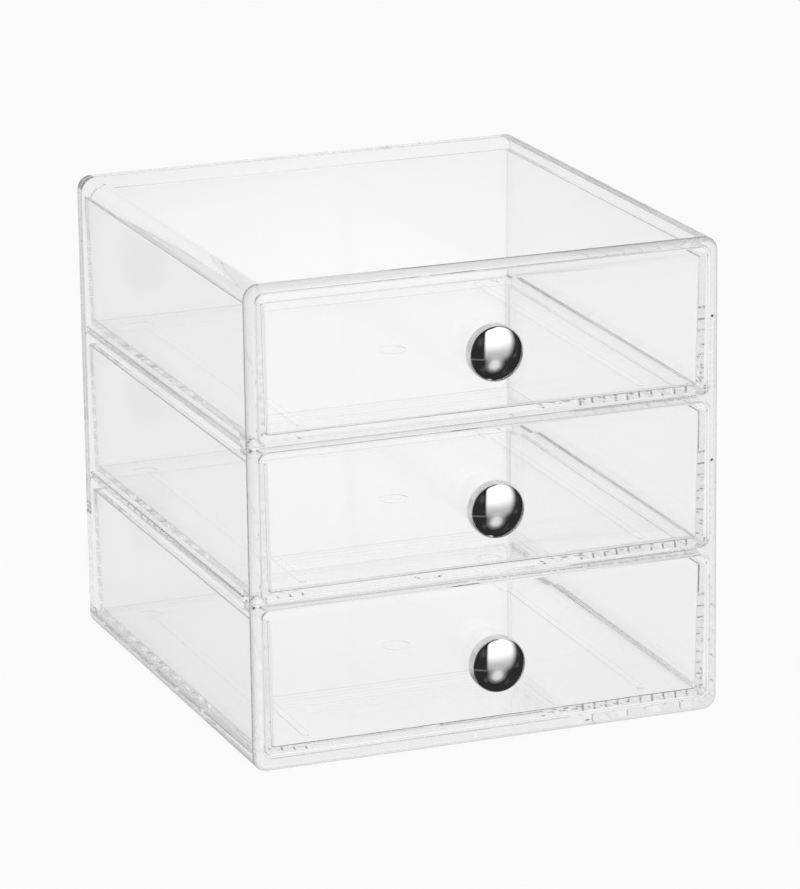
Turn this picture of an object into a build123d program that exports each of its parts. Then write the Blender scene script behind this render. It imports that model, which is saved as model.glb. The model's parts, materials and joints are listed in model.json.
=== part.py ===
from build123d import *
import math
import os

# Clear tabletop organizer: a moulded case with two shelf plates and a back panel,
# and three clear drawers, each pulled by a chrome knob that one screw holds.
#
# Frame: the origin is the centre of the flat face that the case stands on.
# +Z is up, the drawer fronts face -Y, and X runs across the width. Millimetres.

# ---- case ----
case_width = 165.0
case_depth = 172.0
case_height = 163.0
case_corner_radius = 5.0        # rounding of the four long edges
front_edge_radius = 2.2         # rounding of the rim, seen all round the front
back_edge_radius = 0.6
side_wall = 3.4
top_wall = 2.7
floor_thickness = 4.7
drawer_count = 3

# ---- front windows, and the bars between them ----
window_corner_radius = 3.2
window_edge_bevel = 0.4         # flare of each window's front edge
bar_depth = 10.0                # how far the moulded bars reach back from the rim

# ---- shelf plates and back panel ----
shelf_thickness = 2.3
shelf_gap = 0.15                # hairline round each plate
shelf_edge_bevel = 0.45         # eased edges, above and below
ledge_height = 0.8
ledge_width = 0.8
back_thickness = 2.6
back_gap = 0.1

# ---- drawers ----
front_setback = 0.2             # drawer front behind the rim
front_gap = 0.35                # at the sides and the top of a drawer front
slide_gap = 0.2                 # under the runners and the drawer front
front_thickness = 2.6
front_bevel_radius = 0.5
tub_side_gap = 0.6              # between tub and window, at the tub's rim
tub_back_gap = 0.5              # between the shut tub and the back panel
tub_wall = 2.2
tub_floor = 2.0
tub_lean = 0.8                  # how far each wall leans in from rim to floor
rim_drop = 4.0                  # tub rim below the top of its cell
rim_radius = 0.4
tub_corner_radius = 1.2         # upright corners inside
tub_outer_radius = 1.0          # upright corners outside
tub_edge_radius = 0.8           # under the tub, where its walls meet its floor
floor_fillet = 0.8
runner_spacing = 120.0
runner_width = 2.6
runner_height = 0.4
runner_inset = 10.0             # from the drawer front and from the tub's back
gate_mark_diameter = 10.0
gate_mark_depth = 0.3
pin_mark_diameter = 9.0
pin_mark_depth = 0.2
pin_mark_inset = 13.0           # from the tub's inner back corner, both ways

# ---- knob, and its screw and washer ----
knob_diameter = 18.8
knob_projection = 12.8
knob_foot_diameter = 13.0
knob_foot_height = 1.2
knob_rim_start = 5.0            # where the flared neck meets the full diameter
knob_rim_end = 8.8              # where the dome starts
knob_rim_radius = 2.0
knob_neck_bow = 1.0             # how hollow the neck is
knob_drop = 0.8                 # knob centre below the middle of the drawer front
screw_diameter = 4.0
screw_head_diameter = 7.8
screw_head_height = 2.5
screw_grip = 6.5                # length of screw inside the knob
screw_clearance = 0.05          # on the radius, inside the knob
screw_end_clearance = 0.8
hole_clearance = 0.25           # on the radius, in the drawer front and the washer
recess_width = 0.9
recess_length = 4.2
recess_depth = 1.3
washer_diameter = 10.0
washer_thickness = 0.8
washer_seat_diameter = 11.5     # flat spot on the leaning inside of the drawer front

# ---- places worked out from the sizes above ----
front_y = -case_depth / 2
back_y = case_depth / 2
inner_half = case_width / 2 - side_wall
cell_stack = case_height - top_wall - floor_thickness
cell_height = (cell_stack - (drawer_count - 1) * shelf_thickness) / drawer_count
bar_back_y = front_y + bar_depth
panel_y = back_y - back_thickness
front_inner_y = front_y + front_setback + front_thickness
tub_back_y = panel_y - tub_back_gap
tub_half = inner_half - tub_side_gap


def cell_floor(level):
    """Height of the floor of a cell; level 0 is the bottom one."""
    return floor_thickness + level * (cell_height + shelf_thickness)


def knob_height(level):
    """Height of a knob's axis: just below the middle of its drawer front."""
    low = cell_floor(level) + slide_gap
    high = cell_floor(level) + cell_height - front_gap
    return (low + high) / 2 - knob_drop


def block(x_range, y_range, z_range):
    """A box between two corners."""
    size = [high - low for low, high in (x_range, y_range, z_range)]
    middle = [(high + low) / 2 for low, high in (x_range, y_range, z_range)]
    return Pos(*middle) * Box(*size)


def front_outline(half_width, z_range, radius, y):
    """A rounded rectangle as seen from the front, standing at y."""
    low, high = z_range
    plane = Plane(origin=(0, y, (low + high) / 2), x_dir=(1, 0, 0), z_dir=(0, 1, 0))
    return plane * RectangleRounded(2 * half_width, high - low, radius)


def upright_plate(half_width, z_range, radius, y_range):
    """A rounded rectangle run back from y_range[0] to y_range[1]."""
    return extrude(front_outline(half_width, z_range, radius, y_range[0]), y_range[1] - y_range[0])


def edges_at_y(solid, y):
    """The edges that lie wholly in the upright plane at y."""
    return solid.edges().filter_by_position(Axis.Y, y - 0.001, y + 0.001)


def edges_at_z(solid, z):
    """The edges that lie wholly at height z."""
    return solid.edges().filter_by_position(Axis.Z, z - 0.001, z + 0.001)


def window(level):
    """The hole that one drawer slides through, flared at its front edge."""
    low = cell_floor(level)
    high = low + cell_height
    bevel = window_edge_bevel
    reach = (front_y - 1, bar_back_y + 1)
    hole = upright_plate(inner_half, (low, high), window_corner_radius, reach)
    mouth = front_outline(inner_half + bevel, (low - bevel, high + bevel),
                          window_corner_radius + bevel, front_y)
    throat = front_outline(inner_half, (low, high), window_corner_radius, front_y + bevel)
    return hole + loft([mouth.face(), throat.face()])


def shelf_ledges(level):
    """The pair of moulded ledges that carry the shelf plate above a cell."""
    top = cell_floor(level) + cell_height
    y_range = (bar_back_y, panel_y)
    z_range = (top - ledge_height, top)
    right = block((inner_half - ledge_width, inner_half), y_range, z_range)
    return right + mirror(right, Plane.YZ)


def make_case_shell():
    """Walls, floor, front rim and bars in one moulding, open at the back."""
    shell = upright_plate(case_width / 2, (0, case_height), case_corner_radius, (front_y, back_y))
    shell = fillet(edges_at_y(shell, front_y), front_edge_radius)
    shell = fillet(edges_at_y(shell, back_y), back_edge_radius)
    shell -= upright_plate(inner_half, (floor_thickness, case_height - top_wall),
                           window_corner_radius, (bar_back_y, back_y + 1))
    for level in range(drawer_count):
        shell -= window(level)
    for level in range(drawer_count - 1):
        shell += shelf_ledges(level)
    return shell


def make_case_back():
    """The panel that closes the back, bonded inside the four walls."""
    half = inner_half - back_gap
    z_range = (floor_thickness + back_gap, case_height - top_wall - back_gap)
    return upright_plate(half, z_range, window_corner_radius - back_gap, (panel_y, back_y))


def make_shelf(level):
    """The loose-cut plate above a cell, resting on its two ledges behind the bar."""
    half = inner_half - shelf_gap
    under = cell_floor(level) + cell_height
    y_range = (bar_back_y + shelf_gap, panel_y - shelf_gap)
    plate = block((-half, half), y_range, (under, under + shelf_thickness))
    eased = edges_at_z(plate, under) + edges_at_z(plate, under + shelf_thickness)
    return chamfer(eased, shelf_edge_bevel)


def leaning_block(half, y_range, z_range, lean, radius):
    """A rounded rectangle at the top that shrinks by lean on every side to the bottom."""
    middle_y = (y_range[0] + y_range[1]) / 2
    width = 2 * half
    length = y_range[1] - y_range[0]
    top = Pos(0, middle_y, z_range[1]) * RectangleRounded(width, length, radius)
    low = Pos(0, middle_y, z_range[0]) * RectangleRounded(width - 2 * lean, length - 2 * lean, radius)
    return loft([low.face(), top.face()])


def tub_outside(under, rim):
    """The drawer behind its front, as if solid, rounded underneath."""
    start = front_inner_y - front_thickness - tub_outer_radius
    solid = leaning_block(tub_half, (start, tub_back_y), (under, rim), tub_lean, tub_outer_radius)
    solid = fillet(edges_at_z(solid, under), tub_edge_radius)
    over = 2 * tub_half
    ahead = (start - 1, front_inner_y - front_thickness / 2)
    return solid - block((-over, over), ahead, (under - 1, rim + 1))


def tub_cavity(under, rim):
    """The space inside a drawer, with its floor filleted into its walls."""
    low = under + tub_floor
    slope = tub_lean / (rim - low)
    over = rim + 1
    half = tub_half - tub_wall
    y_range = (front_inner_y, tub_back_y - tub_wall)
    grow = slope * (over - rim)
    y_over = (y_range[0] - grow, y_range[1] + grow)
    space = leaning_block(half + grow, y_over, (low, over), tub_lean + grow, tub_corner_radius)
    return fillet(edges_at_z(space, low), floor_fillet)


def make_tub(under, rim):
    """The drawer behind its front: leaning walls with a rounded rim."""
    tub = tub_outside(under, rim) - tub_cavity(under, rim)
    cut_y = front_inner_y - front_thickness / 2
    rim_edges = [edge for edge in edges_at_z(tub, rim) if edge.center().Y > cut_y + 0.01]
    return fillet(rim_edges, rim_radius)


def runner(x, under):
    """A low rib under the tub, with round ends."""
    start = front_inner_y + runner_inset
    length = tub_back_y - runner_inset - start
    outline = Pos(x, start + length / 2, under) * SlotOverall(length, runner_width, 90)
    return extrude(outline, -runner_height)


def drawer_front(level):
    """The flush front of a drawer, drilled for its knob."""
    half = inner_half - front_gap
    z_range = (cell_floor(level) + slide_gap, cell_floor(level) + cell_height - front_gap)
    start = front_y + front_setback
    plate = upright_plate(half, z_range, window_corner_radius, (start, front_inner_y))
    return fillet(edges_at_y(plate, start), front_bevel_radius)


def make_drawer(level):
    """A clear tub with leaning walls behind a flush front."""
    under = cell_floor(level) + slide_gap + runner_height
    rim = cell_floor(level) + cell_height - rim_drop
    drawer = make_tub(under, rim) + drawer_front(level)
    for side in (-1, 1):
        drawer += runner(side * runner_spacing / 2, under)
    middle_y = (front_inner_y + tub_back_y) / 2
    drawer -= Pos(0, middle_y, under) * extrude(Circle(gate_mark_diameter / 2), gate_mark_depth)
    mark_x = tub_half - tub_wall - tub_lean - pin_mark_inset
    mark_y = tub_back_y - tub_wall - tub_lean - pin_mark_inset
    for side in (-1, 1):
        mark = Pos(side * mark_x, mark_y, under + tub_floor) * Circle(pin_mark_diameter / 2)
        drawer -= extrude(mark, -pin_mark_depth)
    drawer -= along_y(screw_diameter / 2 + hole_clearance, front_y - 1, front_inner_y + 1, level)
    seat_end = front_inner_y + tub_lean + 1
    return drawer - along_y(washer_seat_diameter / 2, front_inner_y, seat_end, level)


def along_y(radius, y_start, y_end, level):
    """A round bar on the knob's axis."""
    plane = Plane(origin=(0, y_start, knob_height(level)), x_dir=(1, 0, 0), z_dir=(0, 1, 0))
    return extrude(plane * Circle(radius), y_end - y_start)


def turned(profile, y_seat, level):
    """A half profile (radius, distance out from the seat) turned about the knob's axis."""
    solid = revolve(profile, Axis.Y)
    return Pos(0, y_seat, knob_height(level)) * solid


def make_knob(level):
    """A domed knob on a flared neck, bored from behind for the screw."""
    radius = knob_diameter / 2
    foot = knob_foot_diameter / 2
    neck_middle = ((foot + radius) / 2 - knob_neck_bow / 2,
                   -(knob_foot_height + knob_rim_start) / 2 - knob_neck_bow / 2)
    dome_rise = knob_projection - knob_rim_end
    dome_radius = (radius ** 2 + dome_rise ** 2) / (2 * dome_rise)
    half_angle = math.asin(radius / dome_radius) / 2
    dome_middle = (dome_radius * math.sin(half_angle),
                   -(knob_projection - dome_radius * (1 - math.cos(half_angle))))
    outline = [
        Line((0, 0), (foot, 0)),
        Line((foot, 0), (foot, -knob_foot_height)),
        ThreePointArc((foot, -knob_foot_height), neck_middle, (radius, -knob_rim_start)),
        Line((radius, -knob_rim_start), (radius, -knob_rim_end)),
        ThreePointArc((radius, -knob_rim_end), dome_middle, (0, -knob_projection)),
        Line((0, -knob_projection), (0, 0)),
    ]
    knob = turned(make_face(Wire(outline)), front_y + front_setback, level)
    rim_y = front_y + front_setback - knob_rim_end
    knob = fillet(edges_at_y(knob, rim_y), knob_rim_radius)
    bore_radius = screw_diameter / 2 + screw_clearance
    bore_end = front_y + front_setback - screw_grip - screw_end_clearance
    return knob - along_y(bore_radius, bore_end, front_y + front_setback + 1, level)


def make_knob_washer(level):
    """A flat washer against the inside of the drawer front."""
    ring = along_y(washer_diameter / 2, front_inner_y, front_inner_y + washer_thickness, level)
    bore_radius = screw_diameter / 2 + hole_clearance
    return ring - along_y(bore_radius, front_inner_y - 1, front_inner_y + washer_thickness + 1, level)


def make_knob_screw(level):
    """A pan head screw from inside the drawer, with a cross recess."""
    seat = front_inner_y + washer_thickness
    tip = front_y + front_setback - screw_grip
    head_end = seat + screw_head_height
    head = along_y(screw_head_diameter / 2, seat, head_end, level)
    head = fillet(edges_at_y(head, head_end), screw_head_height * 0.45)
    shank = along_y(screw_diameter / 2, tip, seat, level)
    shank = chamfer(edges_at_y(shank, tip), screw_diameter / 8)
    recess_y = (head_end - recess_depth, head_end + 1)
    height = knob_height(level)
    for half_x, half_z in ((recess_length / 2, recess_width / 2), (recess_width / 2, recess_length / 2)):
        head -= block((-half_x, half_x), recess_y, (height - half_z, height + half_z))
    return head + shank


def build_parts():
    """Every piece of the organizer, by name."""
    parts = {
        "case_shell": make_case_shell(),
        "case_back": make_case_back(),
        "shelf_lower": make_shelf(0),
        "shelf_upper": make_shelf(1),
    }
    for level, place in enumerate(("bottom", "middle", "top")):
        parts["drawer_" + place] = make_drawer(level)
        parts["knob_" + place] = make_knob(level)
        parts["knob_washer_" + place] = make_knob_washer(level)
        parts["knob_screw_" + place] = make_knob_screw(level)
    return parts


os.makedirs("parts", exist_ok=True)
for name, piece in build_parts().items():
    export_step(piece, os.path.join("parts", name + ".step"))
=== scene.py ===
import json
import math

import bpy
from mathutils import Matrix, Vector

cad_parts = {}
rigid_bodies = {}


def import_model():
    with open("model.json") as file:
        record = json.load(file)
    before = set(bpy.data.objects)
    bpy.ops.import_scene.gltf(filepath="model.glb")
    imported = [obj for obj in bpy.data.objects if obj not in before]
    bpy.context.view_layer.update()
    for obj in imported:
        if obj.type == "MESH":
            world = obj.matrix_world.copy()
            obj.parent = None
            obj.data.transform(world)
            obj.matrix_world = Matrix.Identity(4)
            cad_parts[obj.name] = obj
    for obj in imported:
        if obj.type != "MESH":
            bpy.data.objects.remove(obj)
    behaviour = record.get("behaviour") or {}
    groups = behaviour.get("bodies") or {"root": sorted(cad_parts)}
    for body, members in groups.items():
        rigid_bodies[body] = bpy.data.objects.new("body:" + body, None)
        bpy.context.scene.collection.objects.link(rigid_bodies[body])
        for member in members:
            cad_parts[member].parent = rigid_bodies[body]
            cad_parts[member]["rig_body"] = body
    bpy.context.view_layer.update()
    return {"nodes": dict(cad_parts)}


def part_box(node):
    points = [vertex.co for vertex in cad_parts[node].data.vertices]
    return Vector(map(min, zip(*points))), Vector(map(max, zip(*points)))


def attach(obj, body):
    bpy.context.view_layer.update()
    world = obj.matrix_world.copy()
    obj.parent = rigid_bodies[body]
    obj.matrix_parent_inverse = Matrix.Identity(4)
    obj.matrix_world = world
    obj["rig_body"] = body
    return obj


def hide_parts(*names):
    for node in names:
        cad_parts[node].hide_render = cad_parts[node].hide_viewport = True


# Clear tabletop organizer: a moulded case, two shelf plates, a back panel and three
# clear drawers, each with a chrome knob, a nylon washer and a steel screw. Metres.

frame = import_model()
scene = bpy.context.scene
MM = 0.001
MERGE = 0.002 * MM                   # points nearer than this are one
LEVELS = ("bottom", "middle", "top")


# ---- camera, at the photograph's viewing angle ----

PHOTO_WIDTH, PHOTO_HEIGHT = 800, 889
CAMERA_PLACE = (-0.604997, -1.569093, 0.558812)
CAMERA_YAW = math.radians(21.175)
CAMERA_PITCH = math.radians(15.916)
CAMERA_ROLL = math.radians(-0.7586)
CAMERA_FOCAL_PIXELS = 5134.15
SENSOR_MM = 36.0
CAMERA_SEES_TO = 20.0


def add_camera():
    forward = Vector((math.sin(CAMERA_YAW) * math.cos(CAMERA_PITCH),
                      math.cos(CAMERA_YAW) * math.cos(CAMERA_PITCH),
                      -math.sin(CAMERA_PITCH)))
    level_right = Vector((math.cos(CAMERA_YAW), -math.sin(CAMERA_YAW), 0.0))
    level_up = level_right.cross(forward)
    right = level_right * math.cos(CAMERA_ROLL) + level_up * math.sin(CAMERA_ROLL)
    up = level_up * math.cos(CAMERA_ROLL) - level_right * math.sin(CAMERA_ROLL)
    data = bpy.data.cameras.new("camera")
    data.sensor_fit = "AUTO"
    data.sensor_width = SENSOR_MM
    data.lens = CAMERA_FOCAL_PIXELS * SENSOR_MM / max(PHOTO_WIDTH, PHOTO_HEIGHT)
    data.clip_end = CAMERA_SEES_TO
    camera = bpy.data.objects.new("camera", data)
    scene.collection.objects.link(camera)
    turn = Matrix((right, up, -forward)).transposed()
    camera.matrix_world = Matrix.Translation(CAMERA_PLACE) @ turn.to_4x4()
    scene.camera = camera


# ---- node helpers ----

COLOUR_MIX_FACTOR, COLOUR_MIX_A, COLOUR_MIX_B, COLOUR_MIX_RESULT = 0, 6, 7, 2   # socket places


def new_tree(owner):
    owner.use_nodes = True
    owner.node_tree.nodes.clear()
    return owner.node_tree


def feed(tree, socket, value):
    """Link a socket to another, or set its number or colour."""
    if isinstance(value, bpy.types.NodeSocket):
        tree.links.new(value, socket)
    else:
        socket.default_value = value


def add_node(tree, kind, **values):
    """A shader node with the given values or links on its sockets."""
    made = tree.nodes.new(kind)
    for key, value in values.items():
        feed(tree, made.inputs[key.replace("_", " ")], value)
    return made


def sums(tree, operation, *values):
    """A Math node on numbers or sockets."""
    made = tree.nodes.new("ShaderNodeMath")
    made.operation = operation
    for socket, value in zip(made.inputs, values):
        feed(tree, socket, value)
    return made.outputs[0]


def product(tree, first, *others):
    for other in others:
        first = sums(tree, "MULTIPLY", first, other)
    return first


def ramp(tree, value, start, end, low=0.0, high=1.0):
    """A smooth step from low to high between two values."""
    made = add_node(tree, "ShaderNodeMapRange", Value=value, From_Min=start, From_Max=end,
                    To_Min=low, To_Max=high)
    made.interpolation_type = "SMOOTHSTEP"
    return made.outputs[0]


def mixed(tree, amount, first, second):
    """The first shader where the amount is 0, the second where it is 1."""
    made = tree.nodes.new("ShaderNodeMixShader")
    for socket, value in zip(made.inputs, (amount, first, second)):
        feed(tree, socket, value)
    return made.outputs[0]


def blended_colour(tree, amount, first, second):
    made = tree.nodes.new("ShaderNodeMix")
    made.data_type = "RGBA"
    sockets = [made.inputs[COLOUR_MIX_FACTOR], made.inputs[COLOUR_MIX_A], made.inputs[COLOUR_MIX_B]]
    for socket, value in zip(sockets, (amount, first, second)):
        feed(tree, socket, value)
    return made.outputs[COLOUR_MIX_RESULT]


# ---- studio ----

STUDIO_DARK = (0.030, 0.090)         # the unlit room, with faint lighter things in it
ROOM_PATCHES = (2.6, 0.50, 0.72)     # noise scale, and where its patches start and are full
BACK_WALL = (0.22, 0.38)             # how far back a direction points where the white wall starts
BACK_WALL_END = (0.60, 0.80)         # how far right it points where the wall stops
WALL_LEVEL = 0.64
WALL_GLOW_WAY = (0.345, 0.898, 0.272)
WALL_GLOW_SPREAD, WALL_GLOW_LEVEL = (5.5, 0.5), 0.32
TABLE_LEVEL = 0.70                   # the table behind the object, as its sides reflect it
TABLE_RISE = (-0.30, 0.10)
TABLE_EDGE = (-0.55, -0.34)
SOFT_BOX_LEFT = (-31, -21)           # degrees round from the front
SOFT_BOX_RIGHT, SOFT_BOX_SLANT, SOFT_BOX_BLUR = 56, 40, 17
SOFT_BOX_LOW, SOFT_BOX_HIGH = 0.64, 1.36
SOFT_BOX_RISE = (-0.16, 0.42)        # sine of the height where its light grows
SOFT_BOX_BOTTOM = (-0.60, -0.12)
SOFT_BOX_TOP = (0.930, 0.965)
LOW_GLOW_WAY = (0.07, -0.785, -0.615)
LOW_GLOWS = (((31.0, 4.0), 0.36), ((20.0, 1.0), 0.56))    # spread and level of two layers
TABLE_LINE = (-0.425, -0.36, -0.295) # sine of the height of the table's edge, a thin line
TABLE_LINE_LEVEL = 0.15
TABLE_LINE_FADE = (-0.1, 0.1)        # how far right or back a direction points where it ends
FACE_LIFT = (0.06, 0.85)             # how much of the room's dark the plastic's faces don't show,
                                     # in front and behind, and beside and above
ASIDE = (0.55, 0.80)                 # how far to a side or up a direction points
EDGE_LIFT = (0.20, 0.66)             # the same for light led along its walls, in front and behind
FLOOR_COLOUR = (0.82, 0.82, 0.82, 1)
FLOOR_SHADE = 0.10                   # how much of the floor's look is its own shading
FLOOR_SIZE, FLOOR_DROP = 12.0, 0.0003
KEY_LAMP_PLACE, KEY_LAMP_TARGET = (-0.5, -0.7, 1.3), (0, 0, 0.08)
KEY_LAMP_SIZE, KEY_LAMP_POWER = 0.9, 10.0
WHITE = (1, 1, 1, 1)


def glow(tree, way, centre, spread, level):
    """A round patch of light: full within the inner angle from its centre, none past the outer."""
    near = tree.nodes.new("ShaderNodeVectorMath")
    near.operation = "DOT_PRODUCT"
    tree.links.new(way, near.inputs[0])
    near.inputs[1].default_value = Vector(centre).normalized()
    outer, inner = [math.cos(math.radians(angle)) for angle in spread]
    return ramp(tree, near.outputs["Value"], outer, inner, 0.0, level)


def soft_box(tree, way, x, y, z):
    """A large soft light in front: bright above, weaker below, narrowing towards its bottom."""
    turn = sums(tree, "ARCTAN2", x, sums(tree, "MULTIPLY", y, -1.0))
    left = ramp(tree, turn, *[math.radians(angle) for angle in SOFT_BOX_LEFT])
    slant = sums(tree, "MULTIPLY", z, math.radians(SOFT_BOX_SLANT))
    blur = math.radians(SOFT_BOX_BLUR)
    past = sums(tree, "SUBTRACT", sums(tree, "SUBTRACT", turn, slant),
                math.radians(SOFT_BOX_RIGHT))
    right = ramp(tree, past, -blur, blur, 1.0, 0.0)
    level = ramp(tree, z, *SOFT_BOX_RISE, SOFT_BOX_LOW, SOFT_BOX_HIGH)
    level = product(tree, level, left, right, ramp(tree, z, *SOFT_BOX_BOTTOM),
                    ramp(tree, z, *SOFT_BOX_TOP, 1.0, 0.0))
    for spread, strength in LOW_GLOWS:
        level = sums(tree, "ADD", level, glow(tree, way, LOW_GLOW_WAY, spread, strength))
    return level


def dark_room(tree, way, x, y, z):
    """What is left around the lights: faint patches, and a thin line at the table's edge,
    in front on the left."""
    scale, start, full = ROOM_PATCHES
    patches = add_node(tree, "ShaderNodeTexNoise", Vector=way, Scale=scale,
                       Detail=3.0).outputs["Fac"]
    level = ramp(tree, patches, start, full, *STUDIO_DARK)
    low, middle, high = TABLE_LINE
    line = product(tree, ramp(tree, z, low, middle), ramp(tree, z, middle, high, 1.0, 0.0),
                   ramp(tree, x, *TABLE_LINE_FADE, 1.0, 0.0),
                   ramp(tree, y, *TABLE_LINE_FADE, 1.0, 0.0), TABLE_LINE_LEVEL)
    return sums(tree, "ADD", level, line)


def back_wall(tree, way, x, y, z):
    """A white wall behind, lit most where the camera faces it, and dimmer where the table is."""
    level = ramp(tree, z, *TABLE_RISE, TABLE_LEVEL, WALL_LEVEL)
    level = sums(tree, "ADD", level,
                 glow(tree, way, WALL_GLOW_WAY, WALL_GLOW_SPREAD, WALL_GLOW_LEVEL))
    return product(tree, level, ramp(tree, y, *BACK_WALL), ramp(tree, z, *TABLE_EDGE),
                   ramp(tree, x, *BACK_WALL_END, 1.0, 0.0))


def add_world():
    """White to look at and through. What the plastic and the metal reflect is a dark room
    with a white wall behind the object and a large soft box in front of it. The plastic
    shows that room paler: once mirrored at its faces, and most where walls lead light along."""
    world = bpy.data.worlds.new("studio")
    scene.world = world
    tree = new_tree(world)
    way = add_node(tree, "ShaderNodeTexCoord").outputs["Generated"]
    x, y, z = add_node(tree, "ShaderNodeSeparateXYZ", Vector=way).outputs
    room = sums(tree, "MAXIMUM", back_wall(tree, way, x, y, z), soft_box(tree, way, x, y, z))
    room = sums(tree, "MAXIMUM", room, dark_room(tree, way, x, y, z))
    path = add_node(tree, "ShaderNodeLightPath")
    through = path.outputs["Is Transmission Ray"]
    mirrored = path.outputs["Glossy Depth"]
    led_along = ramp(tree, y, *BACK_WALL, *EDGE_LIFT)
    aside = sums(tree, "MAXIMUM", sums(tree, "ABSOLUTE", x), z)
    met_once = ramp(tree, aside, *ASIDE, *FACE_LIFT)
    lift = ramp(tree, mirrored, 1.0, 2.0, met_once, led_along)
    lift = sums(tree, "MAXIMUM", lift, sums(tree, "LESS_THAN", mirrored, 0.5))
    lift = sums(tree, "MULTIPLY", lift, through)
    lift = sums(tree, "MAXIMUM", lift, path.outputs["Is Camera Ray"])
    dark = sums(tree, "SUBTRACT", 1.0, room)
    level = sums(tree, "ADD", room, product(tree, dark, lift))
    back = add_node(tree, "ShaderNodeBackground", Color=WHITE, Strength=level)
    add_node(tree, "ShaderNodeOutputWorld", Surface=back.outputs[0])


def add_floor():
    """A pale floor that keeps a faint shadow; reflections meet the studio instead of it."""
    bpy.ops.object.select_all(action="DESELECT")
    bpy.ops.mesh.primitive_plane_add(size=FLOOR_SIZE, location=(0, 0, -FLOOR_DROP))
    floor = bpy.context.active_object
    floor.name = "floor"
    material = bpy.data.materials.new("pale_floor")
    tree = new_tree(material)
    shaded = add_node(tree, "ShaderNodeBsdfDiffuse", Color=FLOOR_COLOUR).outputs[0]
    white = add_node(tree, "ShaderNodeEmission", Color=WHITE, Strength=1.0).outputs[0]
    open_floor = add_node(tree, "ShaderNodeBsdfTransparent").outputs[0]
    seen = mixed(tree, FLOOR_SHADE, white, shaded)
    path = add_node(tree, "ShaderNodeLightPath")
    looked_at = sums(tree, "MAXIMUM", path.outputs["Is Camera Ray"],
                     path.outputs["Is Transmission Ray"])
    surface = mixed(tree, looked_at, shaded, seen)
    reflected = sums(tree, "GREATER_THAN", path.outputs["Glossy Depth"], 0.5)
    surface = mixed(tree, reflected, surface, open_floor)
    add_node(tree, "ShaderNodeOutputMaterial", Surface=surface)
    floor.data.materials.append(material)


def add_key_lamp():
    """A soft square lamp that metal and plastic don't mirror."""
    data = bpy.data.lights.new("key", "AREA")
    data.shape = "SQUARE"
    data.size = KEY_LAMP_SIZE
    data.energy = KEY_LAMP_POWER
    lamp = bpy.data.objects.new("key", data)
    scene.collection.objects.link(lamp)
    aim = Vector(KEY_LAMP_TARGET) - Vector(KEY_LAMP_PLACE)
    lamp.matrix_world = (Matrix.Translation(KEY_LAMP_PLACE)
                         @ aim.to_track_quat("-Z", "Y").to_matrix().to_4x4())
    lamp.visible_glossy = False
    lamp.visible_transmission = False
    lamp.visible_camera = False


# ---- materials ----

def noise(tree, scale, detail=2.0, stretch=None):
    """Noise on the object's own coordinates; features are about 1 / scale metres."""
    place = add_node(tree, "ShaderNodeTexCoord").outputs["Object"]
    if stretch:
        place = add_node(tree, "ShaderNodeMapping", Vector=place, Scale=stretch).outputs[0]
    return add_node(tree, "ShaderNodeTexNoise", Vector=place, Scale=scale,
                    Detail=detail).outputs["Fac"]


def bumped(tree, height, strength, distance):
    """Bumps whose full height is the distance, in metres."""
    return add_node(tree, "ShaderNodeBump", Height=height, Strength=strength,
                    Distance=distance).outputs[0]


ACRYLIC_IOR = 1.49
WALL_PASSES = (0.93, 0.93, 0.93, 1)        # the lamp light that each face of the plastic lets by
CHROME_COLOUR, CHROME_ROUGHNESS = (0.77, 0.77, 0.78, 1), (0.015, 0.05)
STEEL_COLOURS = ((0.50, 0.50, 0.50, 1), (0.64, 0.64, 0.65, 1))
STEEL_ROUGHNESS = (0.22, 0.42)
DRAWN_LINES = (1.0, 0.15, 1.0)             # stretches the steel's noise along the screw
NYLON_COLOURS = ((0.74, 0.74, 0.72, 1), (0.82, 0.82, 0.80, 1))
NYLON_ROUGHNESS = 0.48


def clear_plastic(name, absorb, wave_scale, wave_height):
    """Clear moulded plastic: faint flow waves, a little light lost inside, open to lamps."""
    material = bpy.data.materials.new(name)
    tree = new_tree(material)
    waves = bumped(tree, noise(tree, scale=wave_scale, detail=1.0), strength=1.0,
                   distance=wave_height)
    glass = add_node(tree, "ShaderNodeBsdfPrincipled", Base_Color=WHITE, Roughness=0.0,
                     IOR=ACRYLIC_IOR, Transmission_Weight=1.0, Normal=waves)
    open_side = add_node(tree, "ShaderNodeBsdfTransparent", Color=WALL_PASSES)
    path = add_node(tree, "ShaderNodeLightPath")
    lamp_ray = sums(tree, "MAXIMUM", path.outputs["Is Shadow Ray"],
                    path.outputs["Is Diffuse Ray"])
    surface = mixed(tree, lamp_ray, glass.outputs[0], open_side.outputs[0])
    inside = add_node(tree, "ShaderNodeVolumeAbsorption", Color=(0, 0, 0, 1), Density=absorb)
    add_node(tree, "ShaderNodeOutputMaterial", Surface=surface, Volume=inside.outputs[0])
    return material


def polished_chrome():
    """Chrome plate: nearly a mirror, with the faint unevenness of polishing under it."""
    material = bpy.data.materials.new("polished_chrome")
    tree = new_tree(material)
    patches = noise(tree, scale=900.0, detail=3.0)
    rough = ramp(tree, patches, 0.35, 0.75, *CHROME_ROUGHNESS)
    uneven = bumped(tree, noise(tree, scale=420.0), strength=0.25, distance=0.00001)
    shader = add_node(tree, "ShaderNodeBsdfPrincipled", Base_Color=CHROME_COLOUR,
                      Metallic=1.0, Roughness=rough, Normal=uneven)
    add_node(tree, "ShaderNodeOutputMaterial", Surface=shader.outputs[0])
    return material


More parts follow.
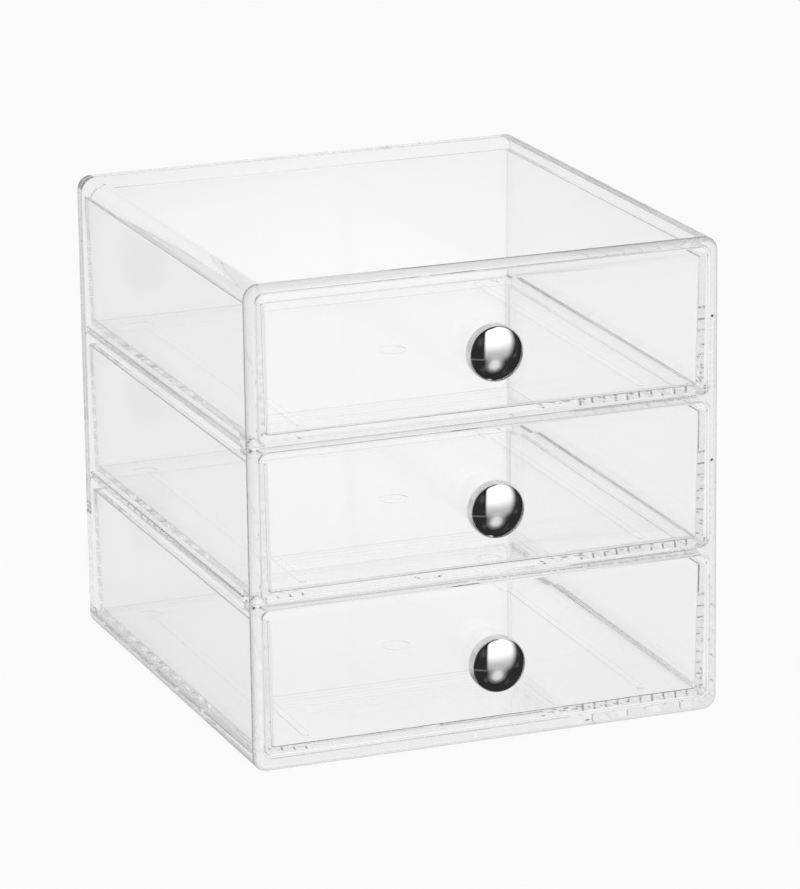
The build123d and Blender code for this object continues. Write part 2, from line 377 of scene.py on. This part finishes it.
def zinc_steel():
    """Plated screw steel: grey, with fine drawn lines and duller patches."""
    material = bpy.data.materials.new("zinc_steel")
    tree = new_tree(material)
    patches = noise(tree, scale=1500.0, detail=4.0)
    rough = ramp(tree, patches, 0.3, 0.7, *STEEL_ROUGHNESS)
    lines = noise(tree, scale=2600.0, stretch=DRAWN_LINES)
    lines = bumped(tree, lines, strength=0.4, distance=0.00002)
    colour = blended_colour(tree, patches, *STEEL_COLOURS)
    shader = add_node(tree, "ShaderNodeBsdfPrincipled", Base_Color=colour, Metallic=1.0,
                      Roughness=rough, Normal=lines)
    add_node(tree, "ShaderNodeOutputMaterial", Surface=shader.outputs[0])
    return material


def natural_nylon():
    """Milky washer nylon with a fine moulded grain."""
    material = bpy.data.materials.new("natural_nylon")
    tree = new_tree(material)
    cloud = noise(tree, scale=700.0, detail=3.0)
    colour = blended_colour(tree, cloud, *NYLON_COLOURS)
    grain = bumped(tree, noise(tree, scale=5200.0), strength=0.3, distance=0.00002)
    shader = add_node(tree, "ShaderNodeBsdfPrincipled", Base_Color=colour,
                      Roughness=NYLON_ROUGHNESS, Normal=grain)
    add_node(tree, "ShaderNodeOutputMaterial", Surface=shader.outputs[0])
    return material


# ---- clear mouldings ----

MOULDING_SMOOTH_ANGLE = math.radians(32)


def edit(piece):
    """Only this piece selected, in edit mode with all of it selected."""
    bpy.ops.object.select_all(action="DESELECT")
    piece.select_set(True)
    bpy.context.view_layer.objects.active = piece
    bpy.ops.object.mode_set(mode="EDIT")
    bpy.ops.mesh.select_all(action="SELECT")


def finish_piece(piece, body, node, material):
    piece.data.materials.clear()
    piece.data.materials.append(material)
    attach(piece, body)
    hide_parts(node)


def smooth_moulding(node, name, material):
    """A CAD moulding with its faces joined up and smoothed, so that it bends light cleanly."""
    source = frame["nodes"][node]
    piece = bpy.data.objects.new(name, source.data.copy())
    scene.collection.objects.link(piece)
    edit(piece)
    bpy.ops.mesh.remove_doubles(threshold=MERGE)
    bpy.ops.object.mode_set(mode="OBJECT")
    bpy.ops.mesh.customdata_custom_splitnormals_clear()
    bpy.ops.object.shade_smooth_by_angle(angle=MOULDING_SMOOTH_ANGLE, keep_sharp_edges=False)
    even = piece.modifiers.new("even_faces", "WEIGHTED_NORMAL")
    even.mode = "FACE_AREA"
    even.weight = 100
    even.keep_sharp = True
    bpy.ops.object.modifier_apply(modifier=even.name)
    finish_piece(piece, source["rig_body"], node, material)


# ---- turned pieces ----

TURNED_SMOOTH_ANGLE = math.radians(35)
KNOB_STEPS, WASHER_STEPS, HEAD_STEPS = 144, 72, 72      # faces round each turned piece


def arc(start, middle, end, count):
    """Points on the arc through three points, from start to end, without start."""
    (ax, ay), (bx, by), (cx, cy) = start, middle, end
    twice = 2 * (ax * (by - cy) + bx * (cy - ay) + cx * (ay - by))
    a2, b2, c2 = ax * ax + ay * ay, bx * bx + by * by, cx * cx + cy * cy
    ux = (a2 * (by - cy) + b2 * (cy - ay) + c2 * (ay - by)) / twice
    uy = (a2 * (cx - bx) + b2 * (ax - cx) + c2 * (bx - ax)) / twice
    radius = math.hypot(ax - ux, ay - uy)
    first = math.atan2(ay - uy, ax - ux)
    half = math.remainder(math.atan2(by - uy, bx - ux) - first, 2 * math.pi)
    last = math.remainder(math.atan2(cy - uy, cx - ux) - first, 2 * math.pi)
    if half * last < 0:
        last += math.copysign(2 * math.pi, half)
    return [(ux + radius * math.cos(first + last * step / count),
             uy + radius * math.sin(first + last * step / count))
            for step in range(1, count + 1)]


def draw_profile(piece, points, height):
    """Extrude one vertex through (radius, y) points, both in metres."""
    edit(piece)
    bpy.ops.mesh.merge(type="CENTER")
    bpy.ops.transform.translate(value=(points[0][0], points[0][1], height))
    for before, after in zip(points, points[1:]):
        step = (after[0] - before[0], after[1] - before[1], 0.0)
        bpy.ops.mesh.extrude_region_move(TRANSFORM_OT_translate={"value": step})


def turned(name, points, height, steps):
    """A profile spun about the line along Y at x = 0 and this height."""
    bpy.ops.object.select_all(action="DESELECT")
    bpy.ops.mesh.primitive_plane_add(size=MM, location=(0, 0, 0))
    piece = bpy.context.active_object
    piece.name = name
    draw_profile(piece, points, height)
    bpy.ops.mesh.select_all(action="SELECT")
    bpy.ops.mesh.spin(steps=steps, angle=2 * math.pi, center=(0, 0, height), axis=(0, 1, 0))
    bpy.ops.mesh.select_all(action="SELECT")
    bpy.ops.mesh.remove_doubles(threshold=MERGE)
    bpy.ops.mesh.normals_make_consistent(inside=False)
    bpy.ops.object.mode_set(mode="OBJECT")
    bpy.ops.object.shade_smooth_by_angle(angle=TURNED_SMOOTH_ANGLE)
    return piece


# Knob, in millimetres: radius, and distance out from the drawer front
KNOB_RADIUS, KNOB_PROJECTION = 9.4, 12.8
KNOB_FOOT, KNOB_FOOT_HEIGHT = 6.5, 1.2
KNOB_NECK_MIDDLE = (7.45, 3.6)
KNOB_RIM_START, KNOB_RIM_END = 5.0, 8.8
KNOB_RIM_ROUND = 2.0
KNOB_RIM_TURN = (0.07, 0.02)         # how the neck turns into the rim: in, and down
KNOB_BORE, KNOB_BORE_DEPTH, KNOB_BORE_CONE = 2.05, 7.3, 0.6
KNOB_FOOT_LINE = 0.05                # the narrow band that ends the foot
EDGE_BREAK = 0.2


def knob_outline():
    """Half the knob's section, from the end of its bore round to the middle of its dome."""
    rise = KNOB_PROJECTION - KNOB_RIM_END
    dome = (KNOB_RADIUS ** 2 + rise ** 2) / (2 * rise)
    centre = KNOB_PROJECTION - dome
    round_x = KNOB_RADIUS - KNOB_RIM_ROUND
    round_y = centre + math.sqrt((dome - KNOB_RIM_ROUND) ** 2 - round_x ** 2)
    reach = math.hypot(round_x, round_y - centre)
    dome_start = (round_x * dome / reach, centre + (round_y - centre) * dome / reach)
    tilt = math.atan2(round_y - centre, round_x)
    round_middle = (round_x + KNOB_RIM_ROUND * math.cos(tilt / 2),
                    round_y + KNOB_RIM_ROUND * math.sin(tilt / 2))
    half = math.asin(dome_start[0] / dome) / 2
    dome_middle = (dome * math.sin(half), centre + dome * math.cos(half))
    points = [(0.0, KNOB_BORE_DEPTH), (KNOB_BORE, KNOB_BORE_DEPTH - KNOB_BORE_CONE),
              (KNOB_BORE, EDGE_BREAK), (KNOB_BORE + EDGE_BREAK, 0.0),
              (KNOB_FOOT - EDGE_BREAK, 0.0)]
    points += arc(points[-1], (KNOB_FOOT - 0.3 * EDGE_BREAK, 0.3 * EDGE_BREAK),
                  (KNOB_FOOT, EDGE_BREAK), count=3)
    points.append((KNOB_FOOT, KNOB_FOOT_HEIGHT - KNOB_FOOT_LINE))
    neck = arc((KNOB_FOOT, KNOB_FOOT_HEIGHT), KNOB_NECK_MIDDLE,
               (KNOB_RADIUS, KNOB_RIM_START), count=20)
    points += [(KNOB_FOOT, KNOB_FOOT_HEIGHT)] + neck[:-1]
    turn_in, turn_down = KNOB_RIM_TURN
    points += arc(neck[-2], (KNOB_RADIUS - turn_in, KNOB_RIM_START - turn_down),
                  (KNOB_RADIUS, KNOB_RIM_START + EDGE_BREAK), count=4)
    points.append((KNOB_RADIUS, round_y))
    points += arc(points[-1], round_middle, dome_start, count=12)
    points += arc(dome_start, dome_middle, (0.0, KNOB_PROJECTION), count=36)
    return points


def axis_of(node):
    """Height of a turned node's axis, and its ends along Y."""
    low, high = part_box(node)
    return (low[2] + high[2]) / 2, low[1], high[1]


def make_knob(level, material):
    node = "knob_" + level
    height, _, seat = axis_of(node)
    points = [(radius * MM, seat - out * MM) for radius, out in knob_outline()]
    piece = turned("pull_knob_" + level, points, height, KNOB_STEPS)
    finish_piece(piece, frame["nodes"][node]["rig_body"], node, material)


# Washer, in millimetres
WASHER_RADIUS, WASHER_BORE, WASHER_THICKNESS = 5.0, 2.25, 0.8
WASHER_EDGE = 0.18
QUARTER_ROUND = 0.29                 # how far in the middle of a quarter round lies, in radii


def make_washer(level, material):
    node = "knob_washer_" + level
    height, front, _ = axis_of(node)
    outer, bore, thick, edge = WASHER_RADIUS, WASHER_BORE, WASHER_THICKNESS, WASHER_EDGE
    corners = [(bore, 0.0, 1, 1), (bore, thick, 1, -1), (outer, thick, -1, -1),
               (outer, 0.0, -1, 1)]
    points = []
    for index, (radius, out, inward, up) in enumerate(corners):
        along = (radius + inward * edge, out)
        beside = (radius, out + up * edge)
        first, last = (along, beside) if index % 2 == 0 else (beside, along)
        middle = (radius + inward * QUARTER_ROUND * edge, out + up * QUARTER_ROUND * edge)
        points += [first] + arc(first, middle, last, count=4)
    points.append(points[0])
    points = [(radius * MM, front + out * MM) for radius, out in points]
    piece = turned("nylon_washer_" + level, points, height, WASHER_STEPS)
    finish_piece(piece, frame["nodes"][node]["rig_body"], node, material)


# Screw, in millimetres
SCREW_RADIUS, SCREW_ROOT, THREAD_PITCH = 2.0, 1.62, 0.7
TOOTH_RISE, TOOTH_CREST, TOOTH_CREST_END = 0.14, 0.46, 0.60     # parts of the pitch
THREAD_STEPS = 40
THREAD_INSET, THREAD_RUN_OUT = 0.3, 0.5     # bare shank at the tip, and at both ends together
SHANK_INTO_HEAD = 0.2
TIP_TAPER, HEAD_END_TAPER = 0.86, 0.95
HEAD_RADIUS, HEAD_HEIGHT, HEAD_ROUND = 3.9, 2.5, 1.12
HEAD_EDGE, HEAD_CROWN = 0.15, 0.12   # the rounding under the head, and the rise of its top
RECESS_LENGTH, RECESS_WIDTH, RECESS_DEPTH = 4.2, 0.9, 1.3
RECESS_TAPER = 0.62
SCREW_SMOOTH_ANGLE = math.radians(28)


def select_where(piece, test):
    """In edit mode, select only the vertices whose place passes the test."""
    bpy.ops.mesh.select_all(action="DESELECT")
    bpy.ops.object.mode_set(mode="OBJECT")
    for vertex in piece.data.vertices:
        vertex.select = test(vertex.co)
    bpy.ops.object.mode_set(mode="EDIT")


def threaded_shank(name, height, tip, seat):
    """A shank with a helical thread from its tip to under the head, closed at both ends."""
    bpy.ops.object.select_all(action="DESELECT")
    bpy.ops.mesh.primitive_plane_add(size=MM, location=(0, 0, height))
    piece = bpy.context.active_object
    piece.name = name
    turns = int((seat - tip) / (THREAD_PITCH * MM)) - 1
    pitch = (seat - tip - THREAD_RUN_OUT * MM) / (turns + 1)
    start = tip + THREAD_INSET * MM
    root, crest = SCREW_ROOT * MM, SCREW_RADIUS * MM
    tooth = [(root, start), (root, start + TOOTH_RISE * pitch),
             (crest, start + TOOTH_CREST * pitch), (crest, start + TOOTH_CREST_END * pitch),
             (root, start + pitch)]
    draw_profile(piece, tooth, 0.0)
    bpy.ops.object.mode_set(mode="OBJECT")
    wind = piece.modifiers.new("wind", "SCREW")
    wind.axis = "Y"
    wind.angle = 2 * math.pi
    wind.screw_offset = pitch
    wind.iterations = turns
    wind.steps = wind.render_steps = THREAD_STEPS
    wind.use_merge_vertices = True
    wind.merge_threshold = MERGE / 2
    bpy.ops.object.modifier_apply(modifier=wind.name)
    for end, towards, shrink in ((tip, -1, TIP_TAPER),
                                 (seat + SHANK_INTO_HEAD * MM, 1, HEAD_END_TAPER)):
        edit(piece)
        bpy.ops.mesh.remove_doubles(threshold=MERGE)
        bpy.ops.mesh.select_mode(type="EDGE")
        bpy.ops.mesh.select_all(action="DESELECT")
        bpy.ops.mesh.select_non_manifold()
        bpy.ops.object.mode_set(mode="OBJECT")
        middle = (tip + seat) / 2
        for edge in piece.data.edges:
            place = sum(piece.data.vertices[index].co.y for index in edge.vertices) / 2
            edge.select = edge.select and (place - middle) * towards > 0
        for vertex in piece.data.vertices:
            vertex.select = False
        for edge in piece.data.edges:
            if edge.select:
                for index in edge.vertices:
                    piece.data.vertices[index].select = True
        bpy.ops.object.mode_set(mode="EDIT")
        bpy.ops.mesh.extrude_edges_move(TRANSFORM_OT_translate={"value": (0, 0, 0)})
        bpy.ops.transform.resize(value=(shrink, 0.0, shrink),
                                 center_override=(0, end, height))
        bpy.ops.mesh.edge_face_add()
        bpy.ops.mesh.select_mode(type="VERT")
        bpy.ops.object.mode_set(mode="OBJECT")
    clean(piece)
    edit(piece)
    bpy.ops.mesh.flip_normals()     # on a thread, the recalculation turns them inwards
    bpy.ops.object.mode_set(mode="OBJECT")
    bpy.ops.object.transform_apply(location=True, rotation=True, scale=True)
    return piece


def clean(piece):
    """Remove slivers, and turn every face outwards."""
    edit(piece)
    bpy.ops.mesh.dissolve_degenerate(threshold=MERGE)
    bpy.ops.mesh.select_all(action="SELECT")
    bpy.ops.mesh.remove_doubles(threshold=MERGE / 2)
    bpy.ops.mesh.normals_make_consistent(inside=False)
    bpy.ops.object.mode_set(mode="OBJECT")


def recess_cutter(height, head_end, sideways):
    """One wing of the cross recess: a bar that narrows towards its bottom."""
    bpy.ops.object.select_all(action="DESELECT")
    depth = RECESS_DEPTH * MM
    bpy.ops.mesh.primitive_cube_add(size=1.0, location=(0, 0, 0))
    piece = bpy.context.active_object
    edit(piece)
    size = (RECESS_LENGTH, RECESS_WIDTH) if sideways else (RECESS_WIDTH, RECESS_LENGTH)
    bpy.ops.transform.resize(value=(size[0] * MM, 2 * depth, size[1] * MM),
                             center_override=(0, 0, 0))
    bpy.ops.transform.translate(value=(0, head_end, height))
    select_where(piece, lambda co: co.y < head_end)
    bpy.ops.transform.resize(value=(RECESS_TAPER, 1, RECESS_TAPER),
                             center_override=(0, head_end, height))
    bpy.ops.object.mode_set(mode="OBJECT")
    return piece


def combine(piece, other, operation):
    """A Boolean with another piece, which is then removed."""
    bpy.ops.object.select_all(action="DESELECT")
    piece.select_set(True)
    bpy.context.view_layer.objects.active = piece
    made = piece.modifiers.new("combine", "BOOLEAN")
    made.operation = operation
    made.solver = "EXACT"
    made.object = other
    bpy.ops.object.modifier_apply(modifier=made.name)
    bpy.data.objects.remove(other, do_unlink=True)


def screw_head(name, height, seat, head_end):
    """A pan head with a cross recess."""
    radius, round_off = HEAD_RADIUS, HEAD_ROUND
    outline = [(0.0, 0.0), (radius - HEAD_EDGE, 0.0)]
    outline += arc(outline[-1], (radius - 0.044, 0.044), (radius, HEAD_EDGE), count=3)
    outline.append((radius, HEAD_HEIGHT - round_off))
    shoulder = (radius - round_off, HEAD_HEIGHT - HEAD_CROWN)
    outline += arc(outline[-1], (radius - 0.30 * round_off, HEAD_HEIGHT - 0.34 * round_off),
                   shoulder, count=8)
    outline += arc(shoulder, (shoulder[0] / 2, HEAD_HEIGHT - HEAD_CROWN / 4),
                   (0.0, HEAD_HEIGHT), count=8)
    points = [(out_radius * MM, seat + out * MM) for out_radius, out in outline]
    piece = turned(name, points, height, HEAD_STEPS)
    cross = recess_cutter(height, head_end, True)
    combine(cross, recess_cutter(height, head_end, False), "UNION")
    combine(piece, cross, "DIFFERENCE")
    clean(piece)
    return piece


def make_screws(material):
    """One screw, modelled behind the bottom drawer's front and copied to the others."""
    first_height, tip, head_end = axis_of("knob_screw_" + LEVELS[0])
    seat = head_end - HEAD_HEIGHT * MM
    pattern = screw_head("screw", first_height, seat, head_end)
    shank = threaded_shank("shank", first_height, tip, seat)
    bpy.ops.object.select_all(action="DESELECT")
    shank.select_set(True)
    pattern.select_set(True)
    bpy.context.view_layer.objects.active = pattern
    bpy.ops.object.join()
    bpy.ops.object.shade_smooth_by_angle(angle=SCREW_SMOOTH_ANGLE)
    for level in LEVELS:
        node = "knob_screw_" + level
        piece = bpy.data.objects.new("pan_screw_" + level, pattern.data.copy())
        scene.collection.objects.link(piece)
        piece.data.transform(Matrix.Translation((0, 0, axis_of(node)[0] - first_height)))
        finish_piece(piece, frame["nodes"][node]["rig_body"], node, material)
    bpy.data.objects.remove(pattern, do_unlink=True)


# ---- build ----

BOUNCES = 128

add_camera()
add_floor()
add_world()
add_key_lamp()

case_plastic = clear_plastic("clear_case_plastic", absorb=0.25, wave_scale=38.0,
                             wave_height=0.000004)
shelf_plastic = clear_plastic("clear_shelf_plastic", absorb=0.5, wave_scale=24.0,
                              wave_height=0.000003)
drawer_plastic = clear_plastic("clear_drawer_plastic", absorb=0.5, wave_scale=46.0,
                               wave_height=0.000004)
chrome = polished_chrome()
steel = zinc_steel()
nylon = natural_nylon()

smooth_moulding("case_shell", "case_moulding", case_plastic)
smooth_moulding("case_back", "back_panel", case_plastic)
smooth_moulding("shelf_lower", "shelf_plate_lower", shelf_plastic)
smooth_moulding("shelf_upper", "shelf_plate_upper", shelf_plastic)
for level in LEVELS:
    smooth_moulding("drawer_" + level, "drawer_moulding_" + level,
                    drawer_plastic)
    make_knob(level, chrome)
    make_washer(level, nylon)
make_screws(steel)

# Light led along inside the walls needs many bounces to come out again.
scene.cycles.max_bounces = BOUNCES
scene.cycles.transmission_bounces = BOUNCES
scene.cycles.glossy_bounces = BOUNCES
scene.cycles.transparent_max_bounces = BOUNCES // 2
scene.view_settings.view_transform = "Standard"
